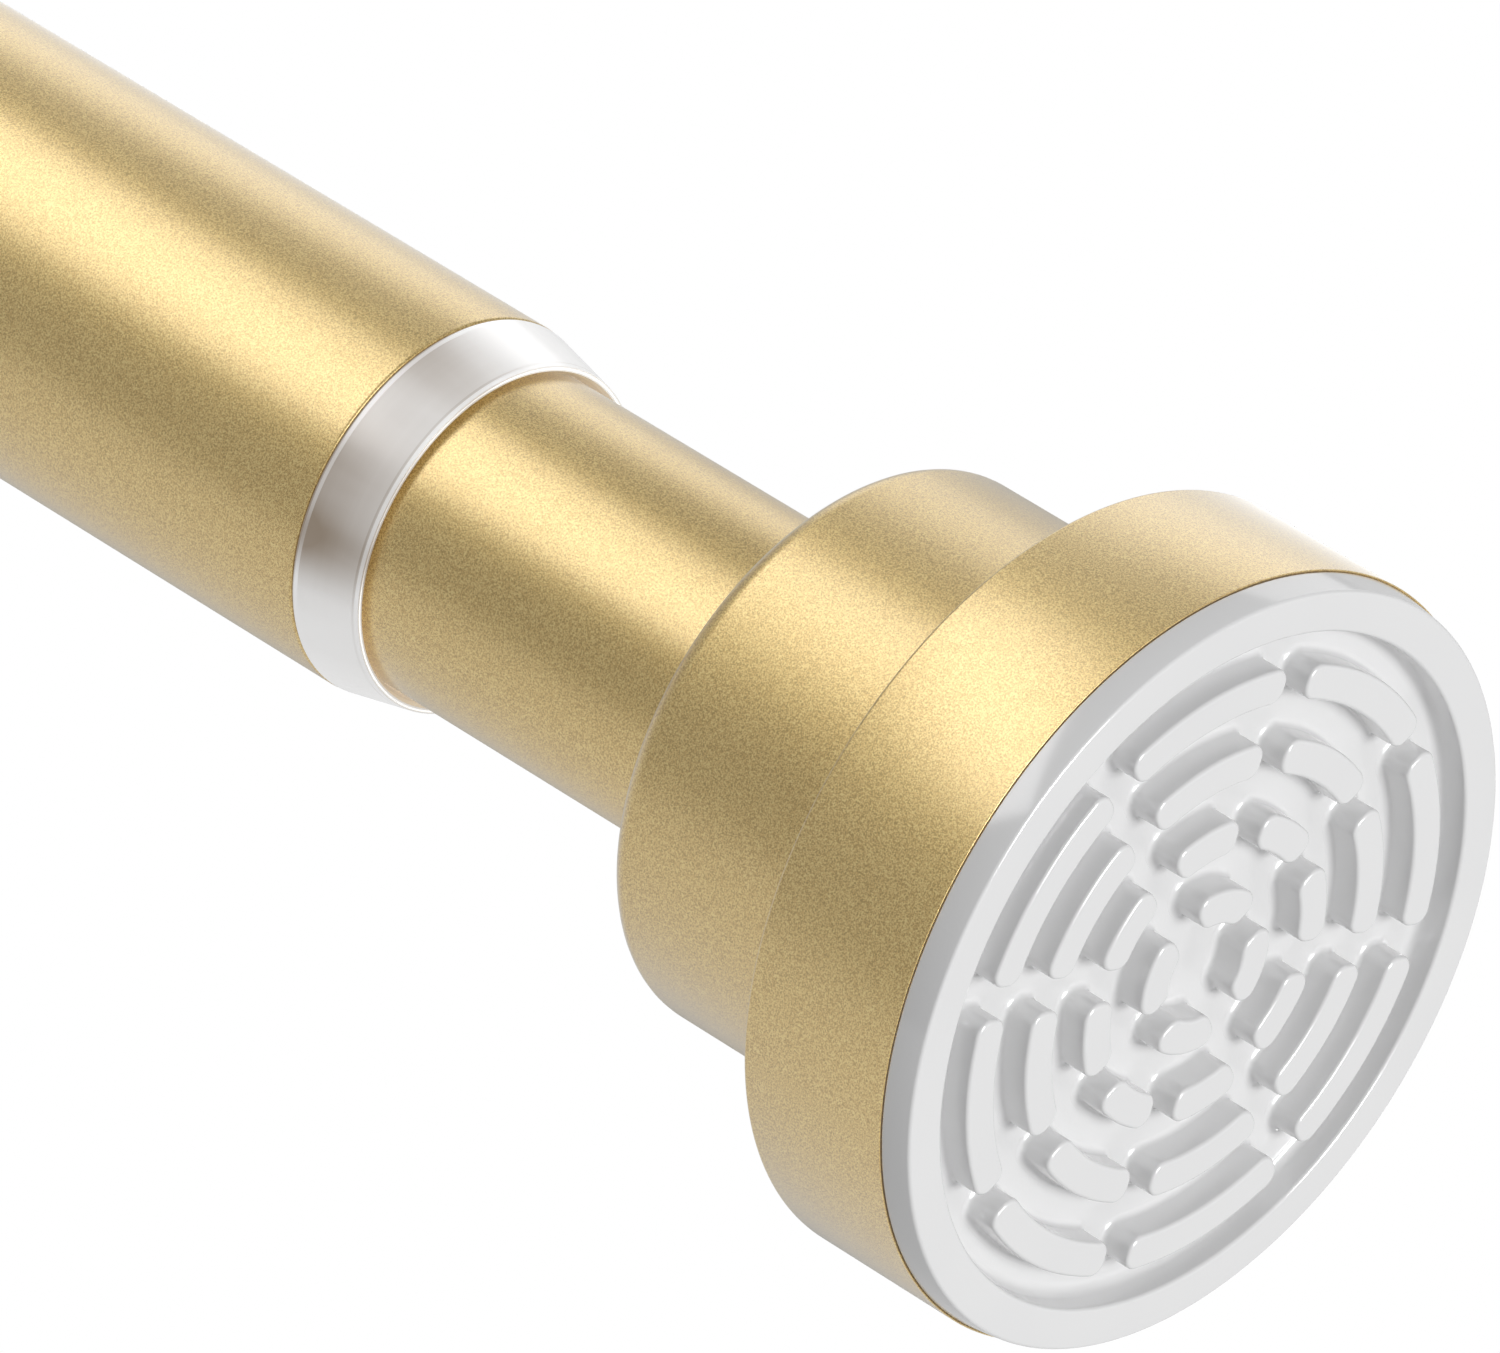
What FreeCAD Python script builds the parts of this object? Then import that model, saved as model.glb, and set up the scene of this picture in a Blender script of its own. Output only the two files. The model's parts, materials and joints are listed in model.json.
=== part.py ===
import FreeCAD, Part
import math
import os

from FreeCAD import Vector

# Spring tension rod that is wedged between two walls. The rod lies along +X. The origin is the
# centre of the wall pad on the fixed end, and the sliding end points to +X. All sizes in mm.

# Tubes: the inner one slides in the outer one
outer_tube_diameter = 25.4
outer_tube_wall = 0.8
tube_gap = 1.0
inner_tube_wall = 0.7
outer_tube_shown = 338.2
inner_tube_shown = 28.5

# End caps: a wide disc against the wall and a narrower collar round the tube
cap_disc_radius = 25.2
cap_disc_depth = 11.3
cap_collar_step = 5.84
cap_collar_length = 18.2
cap_wall = 2.2
cap_rim_bevel = 0.1
cap_rim_groove_depth = 0.35
cap_rim_groove_overlap = 0.1
cap_disc_rounding = 0.4
cap_collar_rounding = 1.5
cap_corner_bevel = 0.5
cap_mouth_wall = 2.5
cap_web_count = 8
cap_web_thickness = 1.6
cap_web_setback = 0.5
socket_wall = 2.0
socket_floor = 2.5
socket_clearance = 0.05

# Rubber pads: a rim and four rows of short ribs, all flush at the front
pad_setback = 0.44
pad_stand = 2.0
pad_edge_bevel = 0.4
pad_rim_width = 2.66
pad_recess_depth = 2.2
pad_floor = 2.7
pad_floor_bevel = 0.8
pad_plug_clearance = 0.1
pad_rib_width = 2.3
pad_rib_gap = 2.1
pad_rib_corner = 0.8
pad_first_row_radius = 4.3
pad_row_counts = (4, 8, 8, 8)

# Tube plugs, with the screw and washer that hold each cap on its tube
plug_length = 14.0
plug_wall = 1.6
plug_face = 3.0
plug_boss_wall = 2.9
plug_web_count = 4
plug_web_thickness = 1.4
plug_clearance = 0.05
cap_screw_radius = 2.0
cap_screw_length = 14.0
cap_screw_head_radius = 4.0
cap_screw_head_height = 2.4
cap_screw_head_room = 0.7
cap_screw_hole_clearance = 0.25
washer_radius = 6.0
washer_thickness = 1.0
thread_clearance = 0.05
drive_slot_width = 1.0
drive_slot_share = 0.5

# Clear ring in the outer tube's mouth
ring_nose_length = 4.8
ring_nose_drop = 0.8
ring_nose_bevel = 0.15
ring_seat_bevel = 0.15
ring_lip_gap = 0.45
ring_sleeve_length = 14.0
ring_clearance = 0.05
ring_running_clearance = 0.1
ring_lip_depth = 0.6

# Guide bush in the inner tube's inner end
bush_flange_length = 4.0
bush_flange_clearance = 0.2
bush_shank_length = 16.0
bush_fit = 0.05
bush_edge = 0.6
hexagon_across_flats = 9.0
hexagon_clearance = 0.1

# Spindle that the inner tube turns
spindle_room = 34.75
spring_travel = 15.0
travel_margin = 1.5
stop_gap = 0.05
thrust_flange_radius = 7.5
thrust_flange_length = 2.5
thrust_washer_thickness = 1.0
spindle_thread_radius = 3.5
spindle_thread_tail = 2.0
spindle_edge = 0.5
journal_step = 0.5
journal_clearance = 0.08
clip_groove_depth = 0.6
clip_thickness = 1.2
clip_shoulder = 2.2
clip_gap = 1.0
clip_mouth_width = 5.0
clip_play = 0.05

# Spring plate on the spindle's inner end
plate_gap = 0.6
plate_thickness = 3.0
spring_boss_gap = 0.6
spring_boss_length = 3.0
plate_screw_radius = 1.7
plate_screw_length = 15.0
plate_screw_head_radius = 3.6
plate_screw_head_height = 2.2
plate_screw_hole_clearance = 0.2
plate_screw_tip_room = 1.5

# Lock sleeve and the cone nut that spreads it
sleeve_grip_gap = 0.08
sleeve_hub_length = 8.0
sleeve_grip_length = 20.0
sleeve_mouth_wall = 2.22
sleeve_taper_length = 14.0
sleeve_slot_count = 4
sleeve_slot_width = 2.4
sleeve_slot_setback = 2.0
sleeve_groove_count = 4
sleeve_groove_width = 1.2
sleeve_groove_depth = 0.5
sleeve_groove_margin = 2.0
nut_length = 12.0
nut_protrusion = 2.0
nut_taper_gap = 0.08
nut_key_length = 8.0
nut_key_clearance = 0.2
nut_key_setback = 0.9
nut_travel = 4.0

# Compression spring and its stop
spring_length = 58.0
spring_wire_radius = 0.9
spring_gap = 1.2
spring_turns = 8
spring_wire_flats = 8
spring_stop_length = 12.0
spring_stop_hole_radius = 3.0

# Radii of pieces that fit each other
outer_tube_radius = outer_tube_diameter / 2
outer_bore_radius = outer_tube_radius - outer_tube_wall
inner_tube_radius = outer_bore_radius - tube_gap
inner_bore_radius = inner_tube_radius - inner_tube_wall
cap_collar_radius = outer_tube_radius + cap_collar_step
cap_mouth_radius = cap_disc_radius - cap_mouth_wall
pad_radius = cap_disc_radius - pad_setback
pad_recess_radius = pad_radius - pad_rim_width
pad_last_row_radius = pad_recess_radius - pad_rib_gap - pad_rib_width / 2
pad_row_pitch = (pad_last_row_radius - pad_first_row_radius) / (len(pad_row_counts) - 1)
ring_nose_radius = outer_tube_radius - ring_nose_drop
ring_lip_radius = inner_tube_radius + ring_lip_gap
journal_radius = spindle_thread_radius + journal_step
clip_groove_radius = spindle_thread_radius - clip_groove_depth
clip_radius = journal_radius + clip_shoulder
sleeve_radius = outer_bore_radius - sleeve_grip_gap
sleeve_mouth_radius = sleeve_radius - sleeve_mouth_wall
sleeve_throat_radius = clip_radius + clip_gap
taper_slope = (sleeve_mouth_radius - sleeve_throat_radius) / sleeve_taper_length
nut_mouth_radius = sleeve_mouth_radius - nut_taper_gap
plate_radius = inner_bore_radius - plate_gap
spring_mean_radius = inner_bore_radius - spring_gap - spring_wire_radius
spring_boss_radius = spring_mean_radius - spring_wire_radius - spring_boss_gap

# Places along an end, from its wall face
rim_front = pad_stand
disc_back = rim_front + cap_disc_depth
collar_back = disc_back + cap_collar_length
pad_back = pad_recess_depth + pad_floor
washer_front = pad_back + cap_screw_head_room + cap_screw_head_height
socket_floor_front = washer_front + washer_thickness
socket_floor_back = socket_floor_front + socket_floor
plug_back = socket_floor_back + plug_length

# Places along the rod, from the wall face of the fixed end
outer_tube_end = collar_back + outer_tube_shown
rod_length = outer_tube_end + ring_nose_length + inner_tube_shown + collar_back
spindle_front = plug_back + spindle_room
nut_front = spindle_front + spindle_thread_tail + nut_travel
nut_back = nut_front + nut_length
sleeve_front = nut_front + nut_protrusion
hub_front = sleeve_front + sleeve_grip_length
hub_back = hub_front + sleeve_hub_length
clip_back = hub_front - clip_play
clip_front = clip_back - clip_thickness
thrust_washer_front = hub_back + clip_play
thrust_flange_front = thrust_washer_front + thrust_washer_thickness
thrust_flange_back = thrust_flange_front + thrust_flange_length
bush_front = thrust_flange_back + spring_travel + travel_margin
inner_tube_start = bush_front + bush_flange_length
inner_tube_end = rod_length - socket_floor_back
bush_back = inner_tube_start + bush_shank_length
plate_front = bush_back + stop_gap
plate_back = plate_front + plate_thickness
spring_stop_front = plate_back + spring_length

rod_axis = Vector(1, 0, 0)
origin = Vector(0, 0, 0)
full_turn = 360.0
# How far a web runs into the walls that it joins, so that they become one solid
bite = 0.3


def rounded(radius):
    """Finish of an outline's corner: a tangent arc of this radius."""
    def finish(before, corner, after):
        to_before = (before - corner).normalize()
        to_after = (after - corner).normalize()
        half_angle = to_before.getAngle(to_after) / 2
        bisector = (to_before + to_after).normalize()
        reach = radius / math.tan(half_angle)
        depth = radius / math.sin(half_angle) - radius
        return corner + to_before * reach, corner + bisector * depth, corner + to_after * reach
    return finish


def bevelled(size):
    """Finish of an outline's corner: a straight cut that starts this far along both sides."""
    def finish(before, corner, after):
        to_before = (before - corner).normalize()
        to_after = (after - corner).normalize()
        return corner + to_before * size, corner + to_after * size
    return finish


def turned(*corners):
    """Solid of revolution about the rod's axis, from corners (place, radius, finish)."""
    points = [Vector(corner[0], 0, corner[1]) for corner in corners]
    stretches = []
    for index, corner in enumerate(corners):
        point = points[index]
        after = points[(index + 1) % len(points)]
        stretches.append(corner[2](points[index - 1], point, after) if len(corner) > 2 else (point,))
    edges = []
    for index, stretch in enumerate(stretches):
        edges.append(Part.makeLine(stretches[index - 1][-1], stretch[0]))
        if len(stretch) == 3:
            edges.append(Part.Arc(*stretch).toShape())
        elif len(stretch) == 2:
            edges.append(Part.makeLine(*stretch))
    return Part.Face(Part.Wire(edges)).revolve(origin, rod_axis, full_turn)


def rod(front, back, radius):
    """Plain round bar between two places."""
    return Part.makeCylinder(radius, back - front, Vector(front, 0, 0), rod_axis)


def tube(front, back, inner_radius, outer_radius):
    """Plain tube between two places."""
    return rod(front, back, outer_radius).cut(rod(front, back, inner_radius))


def hexagon_bar(front, back, across_flats):
    """Hexagonal bar between two places, with flats facing up and down."""
    corner_radius = across_flats / math.sqrt(3)
    corners = []
    for angle in range(0, 361, 60):
        turn = math.radians(angle)
        corners.append(Vector(front, corner_radius * math.cos(turn), corner_radius * math.sin(turn)))
    return Part.Face(Part.makePolygon(corners)).extrude(Vector(back - front, 0, 0))


def spoke(front, back, inner_radius, outer_radius, thickness):
    """Flat plate that stands out from the axis along +Z, between two places."""
    corner = Vector(front, -thickness / 2, inner_radius)
    return Part.makeBox(back - front, thickness, outer_radius - inner_radius, corner)


def around_axis(shape, count, first_angle=0.0):
    """Evenly spaced copies of a shape round the rod's axis."""
    copies = []
    for index in range(count):
        copy = shape.copy()
        copy.rotate(origin, rod_axis, first_angle + index * full_turn / count)
        copies.append(copy)
    return copies


def on_sliding_end(shape):
    """The same shape on the other end of the rod, facing the other wall."""
    turned_round = shape.copy()
    turned_round.rotate(origin, Vector(0, 0, 1), 180)
    turned_round.translate(Vector(rod_length, 0, 0))
    return turned_round


def end_cap(tube_radius):
    """Moulded cap: disc with a groove round its pad, collar, tube socket, and webs between them."""
    socket_radius = tube_radius + socket_clearance
    socket_outer_radius = socket_radius + socket_wall
    hole_radius = cap_screw_radius + cap_screw_hole_clearance
    collar_inner_radius = cap_collar_radius - cap_wall
    disc_inner = disc_back - cap_wall
    collar_inner = collar_back - cap_wall
    cap = turned(
        (rim_front, cap_mouth_radius),
        (rim_front, pad_radius - cap_rim_groove_overlap),
        (rim_front + cap_rim_groove_depth, pad_radius),
        (rim_front, cap_disc_radius, bevelled(cap_rim_bevel)),
        (disc_back, cap_disc_radius, rounded(cap_disc_rounding)),
        (disc_back, cap_collar_radius, bevelled(cap_corner_bevel)),
        (collar_back, cap_collar_radius, rounded(cap_collar_rounding)),
        (collar_back, socket_radius),
        (socket_floor_back, socket_radius),
        (socket_floor_back, hole_radius),
        (socket_floor_front, hole_radius),
        (socket_floor_front, socket_outer_radius),
        (collar_inner, socket_outer_radius),
        (collar_inner, collar_inner_radius),
        (disc_inner, collar_inner_radius),
        (disc_inner, cap_mouth_radius),
    )
    web_front = socket_floor_front + cap_web_setback
    web_space = turned(
        (rim_front, socket_outer_radius - bite),
        (collar_inner + bite, socket_outer_radius - bite),
        (collar_inner + bite, collar_inner_radius + bite),
        (disc_inner + bite, collar_inner_radius + bite),
        (disc_inner + bite, cap_mouth_radius + bite),
        (rim_front, cap_mouth_radius + bite),
    )
    plate = spoke(web_front, collar_back, 0, cap_disc_radius, cap_web_thickness)
    webs = [web_space.common(copy) for copy in around_axis(plate, cap_web_count)]
    return cap.fuse(webs).removeSplitter()


def pad_rib(row_radius, pitch_angle):
    """One rib that follows its row's circle, centred on +Y, with rounded upright corners."""
    inner = row_radius - pad_rib_width / 2
    outer = row_radius + pad_rib_width / 2

    def end(radius, side):
        # The gap to the next rib has the same width all along its sides
        angle = side * (pitch_angle / 2 - math.asin(pad_rib_gap / 2 / radius))
        return Vector(0, radius * math.cos(angle), radius * math.sin(angle))

    edges = [
        Part.Arc(end(outer, -1), Vector(0, outer, 0), end(outer, 1)).toShape(),
        Part.makeLine(end(outer, 1), end(inner, 1)),
        Part.Arc(end(inner, 1), Vector(0, inner, 0), end(inner, -1)).toShape(),
        Part.makeLine(end(inner, -1), end(outer, -1)),
    ]
    block = Part.Face(Part.Wire(edges)).extrude(Vector(pad_recess_depth + bite, 0, 0))
    upright_edges = [edge for edge in block.Edges if edge.BoundBox.XLength > pad_recess_depth]
    return block.makeFillet(pad_rib_corner, upright_edges)


def wall_pad():
    """Rubber pad: flange on the cap's rim, plug in its mouth, rim and ribs on the wall side."""
    plug_radius = cap_mouth_radius - pad_plug_clearance
    pad = turned(
        (pad_recess_depth, 0),
        (pad_recess_depth, pad_recess_radius, bevelled(pad_floor_bevel)),
        (0, pad_recess_radius, bevelled(pad_edge_bevel)),
        (0, pad_radius, bevelled(pad_edge_bevel)),
        (pad_stand, pad_radius),
        (pad_stand, plug_radius),
        (pad_back, plug_radius, bevelled(pad_edge_bevel)),
        (pad_back, 0),
    )
    ribs = []
    for row, count in enumerate(pad_row_counts):
        row_radius = pad_first_row_radius + row * pad_row_pitch
        pitch_angle = 2 * math.pi / count
        rib = pad_rib(row_radius, pitch_angle)
        first_angle = full_turn / count / 4 if row == 0 else 0
        ribs += around_axis(rib, count, first_angle)
    return pad.fuse(ribs).removeSplitter()


def tube_plug(bore_radius):
    """Moulded plug pressed in a tube's end: face, skirt, screw boss and webs."""
    skirt_radius = bore_radius - plug_clearance
    pilot_radius = cap_screw_radius + thread_clearance
    boss_radius = pilot_radius + plug_boss_wall
    front = socket_floor_back
    face_back = front + plug_face
    back = plug_back
    plug = turned(
        (front, pilot_radius),
        (front, skirt_radius),
        (back, skirt_radius, bevelled(plug_wall / 2)),
        (back, skirt_radius - plug_wall),
        (face_back, skirt_radius - plug_wall),
        (face_back, boss_radius),
        (back, boss_radius),
        (back, pilot_radius),
    )
    web = spoke(face_back, back - plug_wall, boss_radius - bite,
                skirt_radius - plug_wall + bite, plug_web_thickness)
    return plug.fuse(around_axis(web, plug_web_count)).removeSplitter()


def pan_screw(seat, shank_radius, shank_length, head_radius, head_height):
    """Slotted pan-head screw whose head sits on a face at seat and whose shank points to +X."""
    head_front = seat - head_height
    tip = seat + shank_length
    screw = turned(
        (head_front, 0),
        (head_front, head_radius, bevelled(head_height / 2)),
        (seat, head_radius),
        (seat, shank_radius),
        (tip - shank_radius, shank_radius),
        (tip, 0),
    )
    slot_depth = head_height * drive_slot_share
    slot = Part.makeBox(slot_depth, drive_slot_width, 2 * head_radius,
                        Vector(head_front, -drive_slot_width / 2, -head_radius))
    return screw.cut(slot)


def cap_screw():
    """Screw through the cap's socket floor into the tube plug."""
    return pan_screw(washer_front, cap_screw_radius, cap_screw_length,
                     cap_screw_head_radius, cap_screw_head_height)


def cap_washer():
    """Flat washer under the cap screw's head."""
    hole_radius = cap_screw_radius + cap_screw_hole_clearance
    return tube(washer_front, socket_floor_front, hole_radius, washer_radius)


def mouth_ring():
    """Clear bush in the outer tube's mouth, with a tapered nose round the inner tube."""
    sleeve_outer_radius = outer_bore_radius - ring_clearance
    bore_radius = inner_tube_radius + ring_running_clearance
    nose_end = outer_tube_end + ring_nose_length
    return turned(
        (outer_tube_end, outer_tube_radius, bevelled(ring_seat_bevel)),
        (nose_end, ring_nose_radius, bevelled(ring_nose_bevel)),
        (nose_end, ring_lip_radius),
        (nose_end - ring_lip_depth, bore_radius),
        (outer_tube_end - ring_sleeve_length, bore_radius),
        (outer_tube_end - ring_sleeve_length, sleeve_outer_radius),
        (outer_tube_end, sleeve_outer_radius),
    )


def guide_bush():
    """Bush pressed in the inner tube's inner end: it slides in the outer tube and on the spindle."""
    flange_radius = outer_bore_radius - bush_flange_clearance
    shank_radius = inner_bore_radius - bush_fit
    blank = turned(
        (bush_front, 0),
        (bush_front, flange_radius, bevelled(bush_edge)),
        (inner_tube_start, flange_radius),
        (inner_tube_start, shank_radius),
        (bush_back, shank_radius, bevelled(bush_edge)),
        (bush_back, 0),
    )
    return blank.cut(hexagon_bar(bush_front, bush_back, hexagon_across_flats + 2 * hexagon_clearance))


def spindle():
    """Threaded end, clip groove, journal, thrust flange and hexagonal rod, turned from one bar."""
    turned_end = turned(
        (spindle_front, 0),
        (spindle_front, spindle_thread_radius, bevelled(spindle_edge)),
        (clip_front, spindle_thread_radius),
        (clip_front, clip_groove_radius),
        (clip_back, clip_groove_radius),
        (clip_back, journal_radius),
        (thrust_flange_front, journal_radius),
        (thrust_flange_front, thrust_flange_radius),
        (thrust_flange_back, thrust_flange_radius, bevelled(spindle_edge)),
        (thrust_flange_back, 0),
    )
    bar = hexagon_bar(thrust_flange_back, plate_front, hexagon_across_flats)
    hole_depth = plate_screw_length - plate_thickness - spring_boss_length
    screw_hole = rod(plate_front - hole_depth - plate_screw_tip_room, plate_front,
                     plate_screw_radius + thread_clearance)
    return turned_end.fuse(bar).cut(screw_hole).removeSplitter()


def spindle_clip():
    """Open retaining clip in the spindle's groove."""
    ring = tube(clip_front, clip_back, clip_groove_radius, clip_radius)
    mouth = spoke(clip_front, clip_back, 0, 2 * clip_radius, clip_mouth_width)
    return ring.cut(mouth)


def thrust_washer():
    """Washer between the spindle's flange and the lock sleeve's hub."""
    return tube(thrust_washer_front, thrust_flange_front, journal_radius + journal_clearance,
                thrust_flange_radius)


def spring_plate():
    """Plate on the spindle's end, with a boss that centres the spring."""
    hole_radius = plate_screw_radius + plate_screw_hole_clearance
    boss_back = plate_back + spring_boss_length
    return turned(
        (plate_front, hole_radius),
        (plate_front, plate_radius),
        (plate_back, plate_radius),
        (plate_back, spring_boss_radius),
        (boss_back, spring_boss_radius, bevelled(spindle_edge)),
        (boss_back, hole_radius),
    )


def plate_screw():
    """Screw that holds the spring plate on the spindle."""
    screw = pan_screw(0, plate_screw_radius, plate_screw_length,
                      plate_screw_head_radius, plate_screw_head_height)
    screw.rotate(origin, Vector(0, 0, 1), 180)
    screw.translate(Vector(plate_back + spring_boss_length, 0, 0))
    return screw


def lock_sleeve():
    """Split sleeve: grip with slots, grooves and an inner taper, on a hub round the spindle."""
    taper_end = sleeve_front + sleeve_taper_length
    hub_bore = journal_radius + journal_clearance
    sleeve = turned(
        (sleeve_front, sleeve_mouth_radius),
        (sleeve_front, sleeve_radius, bevelled(spindle_edge)),
        (hub_back, sleeve_radius, bevelled(spindle_edge)),
        (hub_back, hub_bore),
        (hub_front, hub_bore),
        (hub_front, sleeve_throat_radius),
        (taper_end, sleeve_throat_radius),
    )
    slot = spoke(sleeve_front, hub_front - sleeve_slot_setback, 0, outer_tube_radius,
                 sleeve_slot_width)
    groove_room = hub_front - sleeve_front - 2 * sleeve_groove_margin - sleeve_groove_width
    groove_pitch = groove_room / (sleeve_groove_count - 1)
    cuts = around_axis(slot, sleeve_slot_count)
    for index in range(sleeve_groove_count):
        front = sleeve_front + sleeve_groove_margin + index * groove_pitch
        cuts.append(tube(front, front + sleeve_groove_width,
                         sleeve_radius - sleeve_groove_depth, outer_tube_radius))
    return sleeve.cut(cuts)


def cone_nut():
    """Nut on the spindle's thread, with keys in the sleeve's slots and a taper that spreads it."""
    bore_radius = spindle_thread_radius + thread_clearance
    nut_tip_radius = nut_mouth_radius - (nut_back - sleeve_front) * taper_slope
    nut = turned(
        (nut_front, bore_radius),
        (nut_front, nut_mouth_radius, bevelled(spindle_edge)),
        (sleeve_front, nut_mouth_radius),
        (nut_back, nut_tip_radius),
        (nut_back, bore_radius),
    )
    key_width = sleeve_slot_width - 2 * nut_key_clearance
    key = spoke(nut_front, nut_front + nut_key_length, bore_radius + bite,
                sleeve_radius - nut_key_setback, key_width)
    return nut.fuse(around_axis(key, sleeve_slot_count)).removeSplitter()


def compression_spring():
    """Spring with ground ends between plate and stop. Its wire's section is a many-sided round."""
    helix = Part.makeHelix(spring_length / spring_turns, spring_length, spring_mean_radius)
    wire_start = Vector(spring_mean_radius, 0, 0)
    corners = []
    for index in range(spring_wire_flats + 1):
        turn = 2 * math.pi * index / spring_wire_flats
        corners.append(wire_start + Vector(math.cos(turn), 0, math.sin(turn)) * spring_wire_radius)
    coil = Part.Wire(helix).makePipeShell([Part.makePolygon(corners)], True, True)
    coil.rotate(origin, Vector(0, 1, 0), 90)
    coil.translate(Vector(plate_back, 0, 0))
    between_seats = rod(plate_back, spring_stop_front, inner_bore_radius)
    return coil.common(between_seats)


def spring_stop():
    """Plug fixed in the inner tube, with a boss that centres the spring."""
    boss_front = spring_stop_front - spring_boss_length
    back = spring_stop_front + spring_stop_length
    return turned(
        (boss_front, spring_stop_hole_radius),
        (boss_front, spring_boss_radius, bevelled(spindle_edge)),
        (spring_stop_front, spring_boss_radius),
        (spring_stop_front, inner_bore_radius - bush_fit),
        (back, inner_bore_radius - bush_fit, bevelled(spindle_edge)),
        (back, spring_stop_hole_radius),
    )


parts = {
    # Fixed half
    "outer_tube": tube(socket_floor_back, outer_tube_end, outer_bore_radius, outer_tube_radius),
    "mouth_ring": mouth_ring(),
    "fixed_cap": end_cap(outer_tube_radius),
    "fixed_pad": wall_pad(),
    "fixed_plug": tube_plug(outer_bore_radius),
    "fixed_washer": cap_washer(),
    "fixed_screw": cap_screw(),
    # Twist lock
    "lock_sleeve": lock_sleeve(),
    "cone_nut": cone_nut(),
    "spindle": spindle(),
    "spindle_clip": spindle_clip(),
    "thrust_washer": thrust_washer(),
    "spring_plate": spring_plate(),
    "plate_screw": plate_screw(),
    # Sliding half
    "inner_tube": tube(inner_tube_start, inner_tube_end, inner_bore_radius, inner_tube_radius),
    "guide_bush": guide_bush(),
    "spring": compression_spring(),
    "spring_stop": spring_stop(),
    "sliding_cap": on_sliding_end(end_cap(inner_tube_radius)),
    "sliding_pad": on_sliding_end(wall_pad()),
    "sliding_plug": on_sliding_end(tube_plug(inner_bore_radius)),
    "sliding_washer": on_sliding_end(cap_washer()),
    "sliding_screw": on_sliding_end(cap_screw()),
}

os.makedirs("parts", exist_ok=True)
for name, shape in parts.items():
    shape.exportStep(f"parts/{name}.step")
    print(name, shape.isValid(), len(shape.Solids), round(shape.Volume, 1))
print("rod length", round(rod_length, 2))
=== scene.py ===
"""Dresses the spring tension rod.

The tubes, stepped end caps, ribbed wall pads and mouth ring are built here and stand for their CAD
nodes. The twist lock, the spring and the fasteners keep their CAD meshes and get a finish.
"""

import json
import logging
import math
from dataclasses import dataclass, field
from enum import Enum
from typing import Callable, Iterable, Sequence

import bmesh
import bpy
from mathutils import Matrix, Vector


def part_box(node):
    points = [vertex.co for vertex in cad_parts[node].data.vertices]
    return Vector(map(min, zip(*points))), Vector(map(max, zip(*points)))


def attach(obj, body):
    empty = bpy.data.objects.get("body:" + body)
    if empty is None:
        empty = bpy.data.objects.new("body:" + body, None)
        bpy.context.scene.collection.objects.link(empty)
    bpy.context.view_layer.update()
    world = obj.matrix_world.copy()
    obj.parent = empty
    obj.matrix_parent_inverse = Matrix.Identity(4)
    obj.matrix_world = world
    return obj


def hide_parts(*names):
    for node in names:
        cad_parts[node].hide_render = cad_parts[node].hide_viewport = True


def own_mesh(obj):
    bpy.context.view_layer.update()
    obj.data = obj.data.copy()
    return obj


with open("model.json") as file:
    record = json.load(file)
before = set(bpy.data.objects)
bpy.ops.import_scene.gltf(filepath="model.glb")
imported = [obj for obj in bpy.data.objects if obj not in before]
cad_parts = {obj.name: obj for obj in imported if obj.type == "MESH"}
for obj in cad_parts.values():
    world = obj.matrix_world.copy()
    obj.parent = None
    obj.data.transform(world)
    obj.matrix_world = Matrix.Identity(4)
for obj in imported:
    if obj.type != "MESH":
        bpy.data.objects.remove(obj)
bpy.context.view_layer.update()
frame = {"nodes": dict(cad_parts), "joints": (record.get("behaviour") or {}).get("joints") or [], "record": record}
LOG = logging.getLogger("tension_rod")

MM = 0.001
MERGE_DISTANCE = 0.002 * MM
CURVED_EDGE_DEGREES = 30.0
WHITE = (1.0, 1.0, 1.0, 1.0)
Outline = list[tuple[float, float]]
Colour = tuple[float, float, float]


def toned(colour: Colour, share: float) -> Colour:
    """A colour whose channels keep a share of their brightness."""
    return tuple(share * channel for channel in colour)


class Body(Enum):
    """The rigid bodies that carry the pieces built here."""

    OUTER_HALF = "outer_half"
    INNER_HALF = "inner_half"


class Slot(Enum):
    """Material slots of the record."""

    GOLD_TUBE = "gold_tube"
    GOLD_CAP = "gold_cap"
    PALE_RUBBER = "pale_rubber"
    CLEAR_PLASTIC = "clear_plastic"
    WHITE_PLASTIC = "white_plastic"
    GREY_PLASTIC = "grey_plastic"
    STEEL = "steel"
    SPRING_STEEL = "spring_steel"


class End(Enum):
    """The two ends of the rod; the value is the way that the end's inside points along X."""

    FIXED = 1
    SLIDING = -1


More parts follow.
